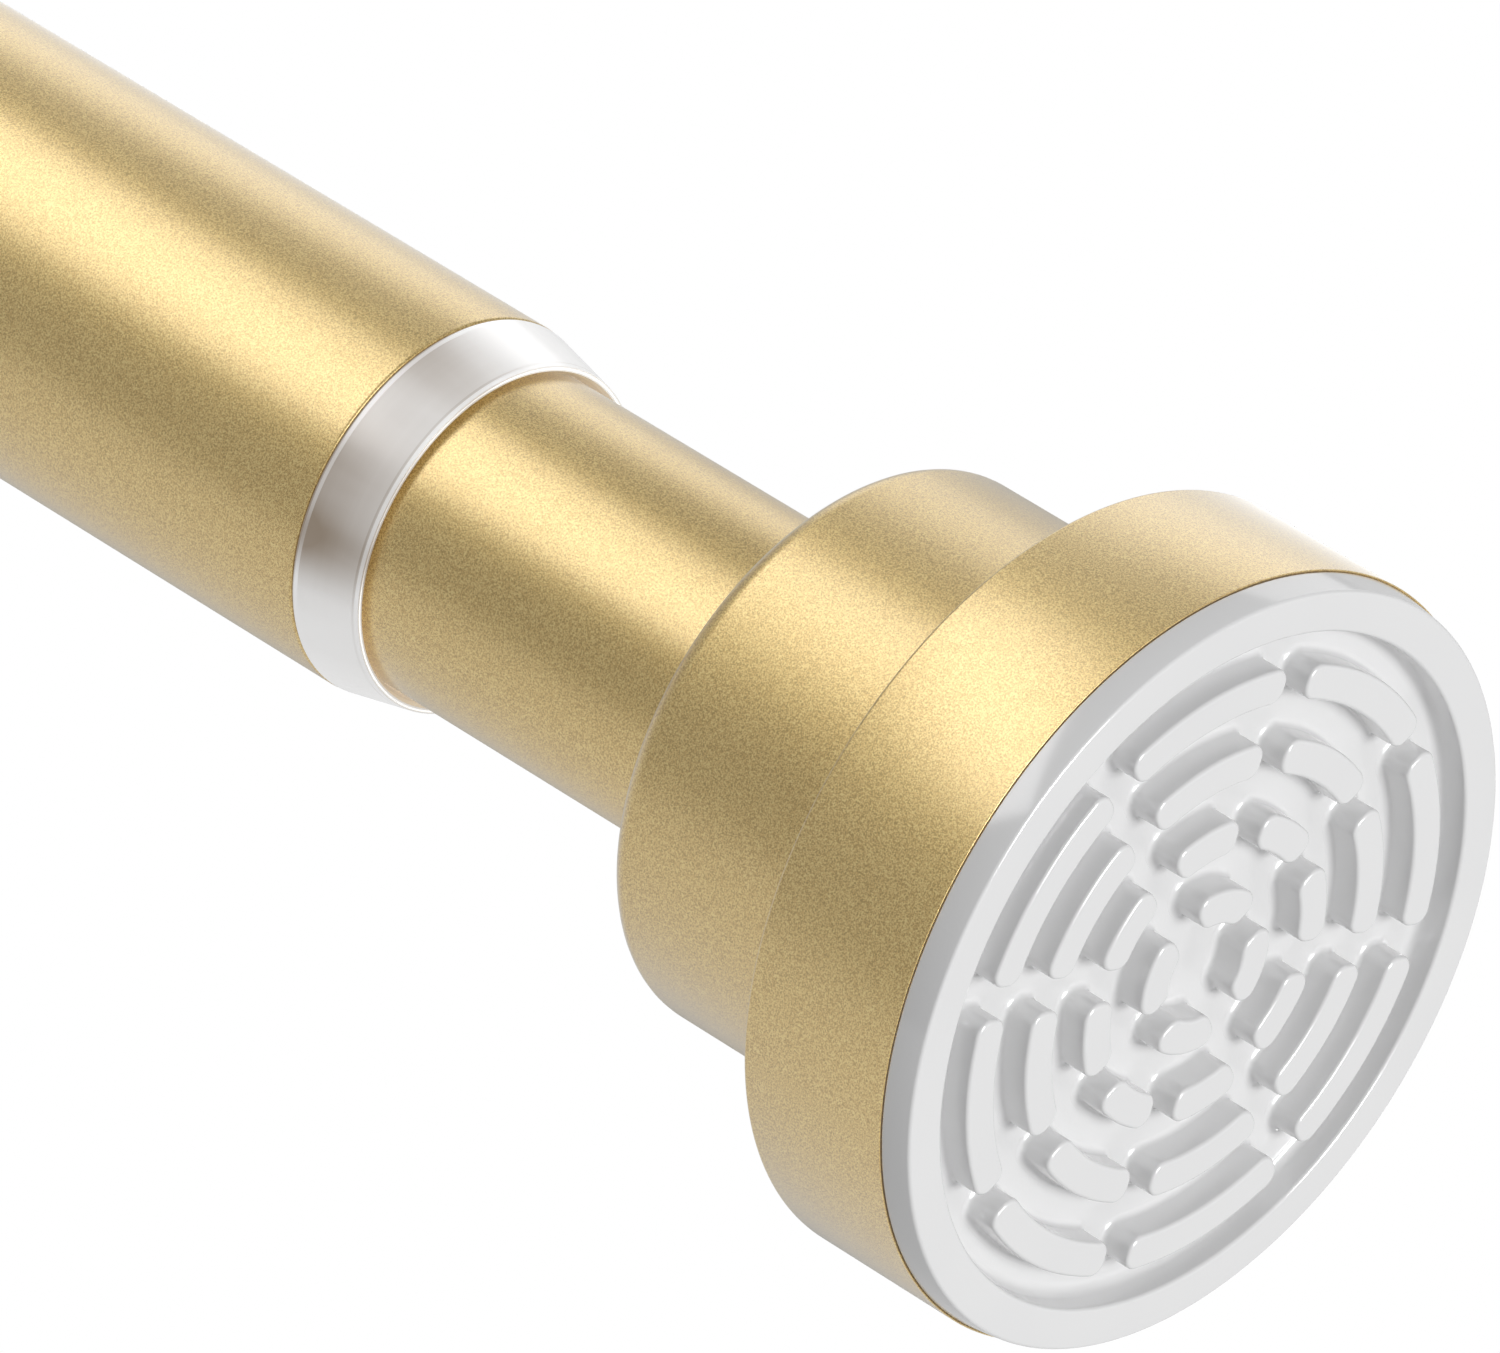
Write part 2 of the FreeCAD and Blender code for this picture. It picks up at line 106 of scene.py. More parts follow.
class Socket:
    """A shader socket that takes part in arithmetic: each operator adds its Math node."""

    def __init__(self, shading: "Shading", socket: bpy.types.NodeSocket | None) -> None:
        """Wraps one output socket.

        Args:
            shading: The nodes that the socket belongs to.
            socket: The output socket, or None behind a node that has no output.
        """
        self.shading = shading
        self.socket = socket

    def _math(self, operation: str, first: "Socket | float", second: "Socket | float") -> "Socket":
        """Adds one Math node.

        Args:
            operation: The Math node's operation.
            first: Its first input.
            second: Its second input.

        Returns:
            The node's output.
        """
        return self.shading.node("ShaderNodeMath", {"operation": operation}, {0: first, 1: second})

    def __add__(self, other: "Socket | float") -> "Socket":
        """Sum."""
        return self._math("ADD", self, other)

    def __radd__(self, other: float) -> "Socket":
        """Sum with a number first."""
        return self._math("ADD", other, self)

    def __sub__(self, other: "Socket | float") -> "Socket":
        """Difference."""
        return self._math("SUBTRACT", self, other)

    def __rsub__(self, other: float) -> "Socket":
        """Difference with a number first."""
        return self._math("SUBTRACT", other, self)

    def __mul__(self, other: "Socket | float") -> "Socket":
        """Product."""
        return self._math("MULTIPLY", self, other)

    def __rmul__(self, other: float) -> "Socket":
        """Product with a number first."""
        return self._math("MULTIPLY", other, self)

    def __pow__(self, power: float) -> "Socket":
        """Power."""
        return self._math("POWER", self, power)

    def near(self, place: float, width: float) -> "Socket":
        """1 where this is within a width of a place, and 0 elsewhere."""
        return self.shading.node("ShaderNodeMath", {"operation": "COMPARE"},
                                 {0: self, 1: place, 2: width})

    def below(self, limit: float) -> "Socket":
        """1 where this is less than a limit, and 0 elsewhere."""
        return self._math("LESS_THAN", self, limit)

    def cosine(self) -> "Socket":
        """Cosine of this angle in radians."""
        return self.shading.node("ShaderNodeMath", {"operation": "COSINE"}, {0: self})


class Shading:
    """Builds the nodes of one material or world."""

    def __init__(self, owner: bpy.types.Material | bpy.types.World | str) -> None:
        """Empties the owner's nodes.

        Args:
            owner: A world or material, or the name of a new material.
        """
        self.owner = bpy.data.materials.new(owner) if isinstance(owner, str) else owner
        self.owner.use_nodes = True
        self.tree = self.owner.node_tree
        self.tree.nodes.clear()

    def node(self, kind: str, settings: dict | None = None, inputs: dict | None = None,
             output: int | str = 0) -> Socket:
        """Adds one node, sets it up and fills its sockets.

        Args:
            kind: The node's type.
            settings: Attributes that are set before the sockets are filled.
            inputs: Values or links by socket number, identifier or name.
            output: The number, identifier or name of the output that is wanted.

        Returns:
            That output.
        """
        made = self.tree.nodes.new(kind)
        for attribute, value in (settings or {}).items():
            setattr(made, attribute, value)
        for key, value in (inputs or {}).items():
            socket = self._find(made.inputs, key)
            if isinstance(value, Socket):
                self.tree.links.new(value.socket, socket)
            else:
                socket.default_value = value
        if not len(made.outputs):
            return Socket(self, None)
        return Socket(self, self._find(made.outputs, output))

    @staticmethod
    def _find(sockets: Sequence[bpy.types.NodeSocket], key: int | str) -> bpy.types.NodeSocket:
        """Finds one socket of a node.

        Args:
            sockets: The node's inputs or outputs.
            key: The socket's number, identifier or name.

        Returns:
            The socket.
        """
        if isinstance(key, int):
            return sockets[key]
        return next((s for s in sockets if s.identifier == key), None) or sockets[key]

    def place(self) -> Socket:
        """The surface point in the object's own metres."""
        return self.node("ShaderNodeTexCoord", output="Object")

    def along(self, axis: str) -> Socket:
        """The surface point's place along one axis, in metres."""
        return self.node("ShaderNodeSeparateXYZ", None, {"Vector": self.place()}, axis)

    def angle_round_rod(self) -> Socket:
        """The surface point's angle round the rod's axis in radians, from +Y towards +Z."""
        return self.node("ShaderNodeMath", {"operation": "ARCTAN2"},
                         {0: self.along("Z"), 1: self.along("Y")})

    def radius_from_rod(self) -> Socket:
        """The surface point's distance from the rod's axis, in metres."""
        y, z = self.along("Y"), self.along("Z")
        return (y * y + z * z) ** 0.5

    def noise(self, grain: float, detail: float = 2.0, roughness: float = 0.5) -> Socket:
        """Noise whose lumps are about as large as grain.

        Args:
            grain: Size of a lump in metres.
            detail: Octaves.
            roughness: Share that each octave keeps.

        Returns:
            The noise's value, from 0 to 1.
        """
        return self.node("ShaderNodeTexNoise", None, {
            "Vector": self.place(), "Scale": 1 / grain, "Detail": detail, "Roughness": roughness})

    def stretched_noise(self, along_rod: float, across: float) -> Socket:
        """Noise whose lumps differ in size along the rod and across it.

        Args:
            along_rod: Size of a lump along X, in metres.
            across: Its size along Y and Z, in metres.

        Returns:
            The noise's value, from 0 to 1.
        """
        stretched = self.node("ShaderNodeMapping", None, {
            "Vector": self.place(), "Scale": (1 / along_rod, 1 / across, 1 / across)})
        return self.node("ShaderNodeTexNoise", None,
                         {"Vector": stretched, "Scale": 1.0, "Detail": 2.0})

    def mix(self, factor: Socket | float, first: Socket | Colour,
            second: Socket | Colour) -> Socket:
        """Mixes two colours.

        Args:
            factor: 0 gives the first colour, 1 the second.
            first: The first colour.
            second: The second colour.

        Returns:
            The mixed colour.
        """
        def opaque(colour: Socket | Colour) -> Socket | tuple[float, ...]:
            """The colour as a Mix node takes it, with its alpha."""
            return colour if isinstance(colour, Socket) else (*colour, 1.0)

        return self.node("ShaderNodeMix", {"data_type": "RGBA"}, {
            "Factor_Float": factor, "A_Color": opaque(first), "B_Color": opaque(second),
        }, "Result_Color")

    def bump(self, height: Socket, depth: float) -> Socket:
        """Normal of a fine relief.

        Args:
            height: The relief, from 0 to 1.
            depth: Its depth in metres.

        Returns:
            The normal.
        """
        return self.node("ShaderNodeBump", None,
                         {"Strength": 1.0, "Distance": depth, "Height": height})

    def finish(self, inputs: dict) -> bpy.types.Material:
        """Ends the material in a Principled shader.

        Args:
            inputs: The shader's values or links by socket name.

        Returns:
            The material.
        """
        shader = self.node("ShaderNodeBsdfPrincipled", None, inputs)
        self.node("ShaderNodeOutputMaterial", None, {"Surface": shader})
        return self.owner


@dataclass(frozen=True)
class GoldCoat:
    """Satin champagne-gold metallic coat with fine flakes."""

    name: str = "champagne_gold_coat"
    base: Colour = (0.84, 0.57, 0.165)
    dark_flake: Colour = (0.56, 0.355, 0.078)
    light_flake: Colour = (1.0, 0.79, 0.31)
    grain: float = 0.14 * MM
    contrast: float = 4.6
    roughness: float = 0.40
    roughness_spread: float = 0.16
    metallic: float = 0.8
    coat_refraction: float = 2.0
    coat_roughness: float = 0.30
    flake_depth: float = 0.008 * MM
    haze: float = 1.0
    haze_roughness: float = 0.4

    def make(self) -> bpy.types.Material:
        """Builds the material.

        Returns:
            The material.
        """
        shading = Shading(self.name)
        flakes = shading.noise(self.grain, detail=1.0, roughness=0.6)
        fine = shading.noise(self.grain / 2, detail=1.0)
        lightness = (flakes + fine - 1.0) * self.contrast
        lit = shading.mix(lightness, self.base, self.light_flake)
        colour = shading.mix(lightness * -1.0, lit, self.dark_flake)
        roughness = self.roughness + (flakes - 0.5) * self.roughness_spread
        return shading.finish({
            "Base Color": colour, "Metallic": self.metallic, "Roughness": roughness,
            "Coat Weight": 1.0, "Coat IOR": self.coat_refraction,
            "Coat Roughness": self.coat_roughness,
            "Sheen Weight": self.haze, "Sheen Roughness": self.haze_roughness,
            "Normal": shading.bump(flakes, self.flake_depth)})


@dataclass(frozen=True)
class PaleRubber:
    """Very light grey moulded rubber with a soft sheen."""

    name: str = "pale_rubber"
    base: Colour = (0.76, 0.76, 0.76)
    shade: Colour = (0.725, 0.725, 0.73)
    roughness: float = 0.5
    gloss_refraction: float = 1.9
    gloss_roughness: float = 0.13
    roughness_spread: float = 0.12
    grain: float = 0.25 * MM
    relief: float = 0.006 * MM
    cloud_size: float = 9 * MM

    def make(self) -> bpy.types.Material:
        """Builds the material.

        Returns:
            The material.
        """
        shading = Shading(self.name)
        fine = shading.noise(self.grain, detail=3.0)
        cloud = shading.noise(self.cloud_size)
        return shading.finish({
            "Base Color": shading.mix(cloud, self.shade, self.base),
            "Roughness": self.roughness + (fine - 0.5) * self.roughness_spread,
            "Coat Weight": 1.0, "Coat IOR": self.gloss_refraction,
            "Coat Roughness": self.gloss_roughness,
            "Normal": shading.bump(fine, self.relief)})


@dataclass(frozen=True)
class PaintedLightBand:
    """A soft band along the rod, painted by angle round the axis for shade and reflection on the clear plastic.

    Args:
        angle: Its middle, in degrees from +Y towards +Z.
        sharpness: Power of its raised cosine.
        strength: Its value in the middle, from 0 to 1.
    """

    angle: float
    sharpness: float
    strength: float

    def build(self, shading: Shading) -> Socket:
        """Builds the band's value over the surface."""
        turn = shading.angle_round_rod() - math.radians(self.angle)
        return (turn.cosine() * 0.5 + 0.5) ** self.sharpness * self.strength


@dataclass(frozen=True)
class PaintedEdgeLine:
    """A thin painted line round the ring: a painted highlight where it is lighter and a painted shadow line where
    it is darker.

    Args:
        share: Its middle, from 0 at the ring's seat to 1 at its nose.
        reach: How far it goes to either side, as a share too.
        lightening: How much lighter it is; a darker line has a minus.
    """

    share: float
    reach: float
    lightening: float


@dataclass(frozen=True)
class ClearPlastic:
    """Clear moulded plastic with painted shade bands, painted highlight and shadow lines at its edges, a painted
    reflection of the gold tube in its lip, and a painted glow.

    Args:
        seat: Place of the outer tube's end along the rod.
        nose: Place of the ring's nose.
        lip_radius: Where the lip round the inner tube begins.
    """

    seat: float
    nose: float
    lip_radius: float
    name: str = "clear_plastic"
    # Painted reflection of the gold tube, with painted shade, inside the lip, strongest on one side round the rod.
    painted_gold_reflection: Colour = (0.52, 0.46, 0.32)
    painted_reflection_side: PaintedLightBand = PaintedLightBand(105, 3, 1.0)
    bright: Colour = (0.97, 0.965, 0.96)
    # Painted shade: the bands below darken the plastic towards this colour by angle round the ring, faded from the
    # seat to the nose.
    shade: Colour = (0.30, 0.238, 0.18)
    painted_shade_bands: tuple[PaintedLightBand, ...] = (
        PaintedLightBand(161, 100, 0.66), PaintedLightBand(137, 22, 0.66), PaintedLightBand(97, 62, 0.55))
    band_at_seat: float = 1.25
    band_at_nose: float = 0.75
    # Painted shadow line at the joint with the tube, painted highlights beside it and at the nose, and a faint
    # painted shadow line before the nose.
    painted_edge_lines: tuple[PaintedEdgeLine, ...] = (
        PaintedEdgeLine(0.015, 0.02, -0.6), PaintedEdgeLine(0.075, 0.025, 0.3),
        PaintedEdgeLine(0.92, 0.015, -0.15), PaintedEdgeLine(0.97, 0.025, 0.3))
    lump_length: float = 83.3 * MM
    lump_width: float = 2.2 * MM
    lump_contrast: float = 0.16
    line_length: float = 16.7 * MM
    line_pitch: float = 0.45 * MM
    line_contrast: float = 0.05
    # Painted glow: the plastic's painted colour also glows, though it is no lamp.
    painted_glow: float = 0.32
    mirroring: float = 0.1
    roughness: float = 0.30
    coat_roughness: float = 0.22

    def make(self) -> bpy.types.Material:
        """Builds the material.

        Returns:
            The material.
        """
        shading = Shading(self.name)
        lumps = shading.stretched_noise(self.lump_length, self.lump_width)
        lines = shading.stretched_noise(self.line_pitch, self.line_length)
        lightness = 1.0 + (lumps - 0.5) * self.lump_contrast + (lines - 0.5) * self.line_contrast
        share = (shading.along("X") - self.seat) * (1 / (self.nose - self.seat))
        fading = self.band_at_seat + share * (self.band_at_nose - self.band_at_seat)
        # Painted shade bands darken the plastic by angle round the rod.
        for band in self.painted_shade_bands:
            lightness = lightness - band.build(shading) * fading
        # Painted highlight and shadow lines near the seat and the nose.
        for line in self.painted_edge_lines:
            lightness = lightness + share.near(line.share, line.reach) * line.lightening
        plain = shading.mix(lightness, self.shade, self.bright)
        # Inside the lip the plastic is painted the shaded gold of the reflected tube, on one side round the rod.
        in_lip = shading.radius_from_rod().below(self.lip_radius)
        colour = shading.mix(in_lip * self.painted_reflection_side.build(shading), plain, self.painted_gold_reflection)
        # The painted colour also feeds the emission, a painted glow.
        return shading.finish({
            "Base Color": colour, "Metallic": self.mirroring, "Roughness": self.roughness,
            "Coat Weight": 1.0, "Coat Roughness": self.coat_roughness,
            "Emission Color": colour, "Emission Strength": self.painted_glow})


@dataclass(frozen=True)
class MouldedPlastic:
    """Plain moulded plastic with a fine spark-eroded grain."""

    name: str
    base: Colour
    roughness: float = 0.5
    roughness_spread: float = 0.15
    grain: float = 0.2 * MM
    relief: float = 0.008 * MM
    cloud_size: float = 6 * MM
    cloud_tone: float = 0.9

    def make(self) -> bpy.types.Material:
        """Builds the material.

        Returns:
            The material.
        """
        shading = Shading(self.name)
        fine = shading.noise(self.grain, detail=3.0)
        cloud = shading.noise(self.cloud_size)
        return shading.finish({
            "Base Color": shading.mix(cloud, toned(self.base, self.cloud_tone), self.base),
            "Roughness": self.roughness + (fine - 0.5) * self.roughness_spread,
            "Normal": shading.bump(fine, self.relief)})


@dataclass(frozen=True)
class TurnedSteel:
    """Steel with fine turning marks round the rod's axis."""

    name: str
    base: Colour
    roughness: float = 0.28
    roughness_spread: float = 0.16
    mark_pitch: float = 0.12 * MM
    mark_length: float = 16.7 * MM
    mark_tone: float = 0.82
    relief: float = 0.004 * MM

    def make(self) -> bpy.types.Material:
        """Builds the material.

        Returns:
            The material.
        """
        shading = Shading(self.name)
        marks = shading.stretched_noise(self.mark_pitch, self.mark_length)
        return shading.finish({
            "Base Color": shading.mix(marks, toned(self.base, self.mark_tone), self.base),
            "Metallic": 1.0,
            "Roughness": self.roughness + (marks - 0.5) * self.roughness_spread,
            "Normal": shading.bump(marks, self.relief)})


@dataclass(frozen=True)
class StudioFloor:
    """Plain pale floor that the camera sees as white from above and looks through from below."""

    name: str = "studio_floor"
    colour: Colour = (0.86, 0.86, 0.86)
    mirrored_share: float = 0.55

    def make(self) -> bpy.types.Material:
        """Builds the material.

        Returns:
            The material.
        """
        shading = Shading(self.name)
        camera = shading.node("ShaderNodeLightPath", output="Is Camera Ray")
        through = shading.node("ShaderNodeLightPath", output="Is Transmission Ray")
        mirrored = shading.node("ShaderNodeLightPath", output="Is Glossy Ray")
        cloth = shading.node("ShaderNodeBsdfDiffuse", None, {"Color": (*self.colour, 1.0)})
        white = shading.node("ShaderNodeEmission", None, {"Color": WHITE, "Strength": 1.0})
        seen = camera + through + mirrored * self.mirrored_share
        top = shading.node("ShaderNodeMixShader", None, {0: seen, 1: cloth, 2: white})
        below = shading.node("ShaderNodeNewGeometry", output="Backfacing")
        surface = shading.node("ShaderNodeMixShader", None, {
            0: below, 1: top, 2: shading.node("ShaderNodeBsdfTransparent")})
        shading.node("ShaderNodeOutputMaterial", None, {"Surface": surface})
        return shading.owner


def round_corner(before: Vector, corner: Vector, after: Vector, radius: float,
                 steps: int) -> Outline:
    """Points of the arc that rounds one corner.

    Args:
        before: The corner before it.
        corner: The corner.
        after: The corner after it.
        radius: Radius of the arc.
        steps: Straight pieces in the arc.

    Returns:
        The arc's points.
    """
    to_before = (before - corner).normalized()
    to_after = (after - corner).normalized()
    half_angle = to_before.angle(to_after) / 2
    centre = corner + (to_before + to_after).normalized() * (radius / math.sin(half_angle))
    start = corner + to_before * (radius / math.tan(half_angle)) - centre
    turn = start.angle_signed(corner + to_after * (radius / math.tan(half_angle)) - centre)
    points = []
    for step in range(steps + 1):
        angle = -turn * step / steps
        spoke = Vector((start.x * math.cos(angle) - start.y * math.sin(angle),
                        start.x * math.sin(angle) + start.y * math.cos(angle)))
        points.append(tuple(centre + spoke))
    return points


def outline(*corners: tuple, steps: int = 8) -> Outline:
    """Outline of a turned piece, with some corners rounded.

    Args:
        corners: Place along the rod, radius and, where the corner is rounded, its rounding.
        steps: Straight pieces in each rounding.

    Returns:
        The outline's points.
    """
    points = [Vector(corner[:2]) for corner in corners]
    line: Outline = []
    for index, corner in enumerate(corners):
        if len(corner) > 2:
            after = points[(index + 1) % len(points)]
            line += round_corner(points[index - 1], points[index], after, corner[2], steps)
        else:
            line.append(tuple(points[index]))
    return line


def new_object(name: str, build: Callable[[bmesh.types.BMesh], None]) -> bpy.types.Object:
    """Makes a shown mesh object at the world's origin.

    Args:
        name: The object's name.
        build: Fills the mesh.

    Returns:
        The object.
    """
    solid = bmesh.new()
    build(solid)
    bmesh.ops.remove_doubles(solid, verts=solid.verts, dist=MERGE_DISTANCE)
    bmesh.ops.recalc_face_normals(solid, faces=solid.faces)
    mesh = bpy.data.meshes.new(name)
    solid.to_mesh(mesh)
    solid.free()
    mesh.shade_smooth()
    mesh.set_sharp_from_angle(angle=math.radians(CURVED_EDGE_DEGREES))
    made = bpy.data.objects.new(name, mesh)
    bpy.context.scene.collection.objects.link(made)
    return made


def turn_outline(solid: bmesh.types.BMesh, line: Outline, segments: int) -> None:
    """Revolves a closed outline about the rod's axis.

    Args:
        solid: The mesh that takes the faces.
        line: The outline's points, as place and radius.
        segments: Faces round the axis.
    """
    rings = []
    for place, radius in line:
        ring = []
        for index in range(segments):
            angle = 2 * math.pi * index / segments
            spoke = (radius * math.cos(angle), radius * math.sin(angle))
            ring.append(solid.verts.new((place, *spoke)))
        rings.append(ring)
    for number, ring in enumerate(rings):
        following = rings[(number + 1) % len(rings)]
        for index in range(segments):
            other = (index + 1) % segments
            solid.faces.new((ring[index], ring[other], following[other], following[index]))


def pattern_tree(name: str) -> bpy.types.NodeTree:
    """Geometry nodes that repeat a mesh round the rod's axis.

    Args:
        name: The tree's name.

    Returns:
        The tree, with the inputs Count, First Angle and Finish.
    """
    tree = bpy.data.node_groups.new(name, "GeometryNodeTree")
    face = tree.interface
    face.new_socket("Geometry", in_out="INPUT", socket_type="NodeSocketGeometry")
    face.new_socket("Count", in_out="INPUT", socket_type="NodeSocketInt")
    face.new_socket("First Angle", in_out="INPUT", socket_type="NodeSocketFloat")
    face.new_socket("Finish", in_out="INPUT", socket_type="NodeSocketMaterial")
    face.new_socket("Geometry", in_out="OUTPUT", socket_type="NodeSocketGeometry")
    nodes, links = tree.nodes, tree.links
    given = nodes.new("NodeGroupInput")
    points = nodes.new("GeometryNodePoints")
    links.new(given.outputs["Count"], points.inputs["Count"])
    share = nodes.new("ShaderNodeMath")
    share.operation = "DIVIDE"
    share.inputs[0].default_value = 2 * math.pi
    links.new(given.outputs["Count"], share.inputs[1])
    turn = nodes.new("ShaderNodeMath")
    turn.operation = "MULTIPLY_ADD"
    links.new(nodes.new("GeometryNodeInputIndex").outputs[0], turn.inputs[0])
    links.new(share.outputs[0], turn.inputs[1])
    links.new(given.outputs["First Angle"], turn.inputs[2])
    about_rod = nodes.new("ShaderNodeCombineXYZ")
    links.new(turn.outputs[0], about_rod.inputs["X"])
    copies = nodes.new("GeometryNodeInstanceOnPoints")
    links.new(points.outputs[0], copies.inputs["Points"])
    links.new(given.outputs["Geometry"], copies.inputs["Instance"])
    links.new(about_rod.outputs[0], copies.inputs["Rotation"])
    real = nodes.new("GeometryNodeRealizeInstances")
    links.new(copies.outputs[0], real.inputs[0])
    coat = nodes.new("GeometryNodeSetMaterial")
    links.new(real.outputs[0], coat.inputs["Geometry"])
    links.new(given.outputs["Finish"], coat.inputs["Material"])
    result = nodes.new("NodeGroupOutput")
    links.new(coat.outputs[0], result.inputs[0])
    return tree


def repeat_round_axis(one: bpy.types.Object, tree: bpy.types.NodeTree,
                      values: dict) -> bpy.types.Mesh:
    """Repeats an object with a geometry node tree and makes the result a plain mesh.

    Args:
        one: The object that is repeated; it is deleted.
        tree: The tree.
        values: The tree's inputs by name.

    Returns:
        The repeated mesh.
    """
    modifier = one.modifiers.new("pattern", "NODES")
    modifier.node_group = tree
    for item in tree.interface.items_tree:
        if item.in_out == "INPUT" and item.name in values:
            modifier[item.identifier] = values[item.name]
    bpy.context.view_layer.update()
    evaluated = one.evaluated_get(bpy.context.evaluated_depsgraph_get())
    repeated = bpy.data.meshes.new_from_object(evaluated)
    bpy.data.objects.remove(one)
    return repeated


def join_meshes(piece: bpy.types.Object, meshes: Iterable[bpy.types.Mesh],
                sharp_degrees: float = CURVED_EDGE_DEGREES) -> None:
    """Adds meshes to a piece's own mesh.

    Args:
        piece: The piece.
        meshes: The meshes that it takes in; they are deleted.
        sharp_degrees: Edges that turn more than this stay sharp.
    """
    joined = bmesh.new()
    joined.from_mesh(piece.data)
    for mesh in meshes:
        joined.from_mesh(mesh)
        bpy.data.meshes.remove(mesh)
    for side in joined.faces:
        side.material_index = 0
    joined.to_mesh(piece.data)
    joined.free()
    piece.data.shade_smooth()
    piece.data.set_sharp_from_angle(angle=math.radians(sharp_degrees))


def fit_out(piece: bpy.types.Object, body: Body, slot: Slot, finish: bpy.types.Material,
            node: str) -> None:
    """Gives a new piece its finish, hangs it on its body, hides the CAD node that it stands for and logs what it
    rides on.

    Args:
        piece: The new piece.
        body: The body that carries it.
        slot: The record's slot that it takes its finish from; not used.
        finish: Its material.
        node: The CAD node that it stands for.
    """
    piece.data.materials.clear()
    piece.data.materials.append(finish)
    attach(piece, body.value)
    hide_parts(node)
    LOG.info("%s: %d faces, rides on %s", piece.name, len(piece.data.polygons), body.value)


def radius_of(node: str) -> float:
    """Outer radius of a round CAD node, in metres."""
    low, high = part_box(node)
    return (high[1] - low[1]) / 2


@dataclass
class Tube:
    """One steel tube of the rod."""

    node: str
    body: Body
    wall: float
    edge_rounding: float = 0.18 * MM
    edge_steps: int = 4
    segments: int = 160

    def build(self, finish: bpy.types.Material) -> bpy.types.Object:
        """Makes and dresses the tube.

        Args:
            finish: The coat.

        Returns:
            The tube.
        """
        low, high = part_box(self.node)
        outer = radius_of(self.node)
        inner = outer - self.wall
        edge = self.edge_rounding
        line = outline((low[0], inner, edge), (low[0], outer, edge),
                       (high[0], outer, edge), (high[0], inner, edge), steps=self.edge_steps)
        piece = new_object(f"{self.node}_shell",
                           lambda solid: turn_outline(solid, line, self.segments))
        fit_out(piece, self.body, Slot.GOLD_TUBE, finish, self.node)
        return piece


@dataclass
class MouthRing:
    """Clear ring in the outer tube's mouth, with its sleeve inside the tube."""

    inner_tube_radius: float
    outer_tube_bore: float
    bore_clearance: float = 0.1 * MM
    sleeve_clearance: float = 0.05 * MM
    nose_radius: float = 11.65 * MM
    lip_radius: float = 11.32 * MM
    lip_depth: float = 0.6 * MM
    nose_rounding: float = 0.06 * MM
    bead_width: float = 0.1 * MM
    groove_depth: float = 0.2 * MM
    groove_slope: float = 0.03 * MM
    seat_rounding: float = 0.2 * MM
    segments: int = 160

    def build(self, finish: bpy.types.Material) -> bpy.types.Object:
        """Makes and dresses the ring.

        Args:
            finish: The clear plastic.

        Returns:
            The ring.
        """
        low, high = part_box("mouth_ring")
        back, nose = low[0], high[0]
        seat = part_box("outer_tube")[1][0]
        bore = self.inner_tube_radius + self.bore_clearance
        sleeve = self.outer_tube_bore - self.sleeve_clearance
        groove_floor = nose - self.groove_depth
        groove_outside = self.nose_radius - self.bead_width
        groove_inside = self.lip_radius + self.bead_width
        line = outline(
            (seat, radius_of("mouth_ring"), self.seat_rounding),
            (nose, self.nose_radius, self.nose_rounding),
            (nose, groove_outside), (groove_floor, groove_outside - self.groove_slope),
            (groove_floor, groove_inside + self.groove_slope), (nose, groove_inside),
            (nose, self.lip_radius), (nose - self.lip_depth, bore),
            (back, bore), (back, sleeve), (seat, sleeve))
        piece = new_object("mouth_ring_shell",
                           lambda solid: turn_outline(solid, line, self.segments))
        fit_out(piece, Body.OUTER_HALF, Slot.CLEAR_PLASTIC, finish, "mouth_ring")
        return piece


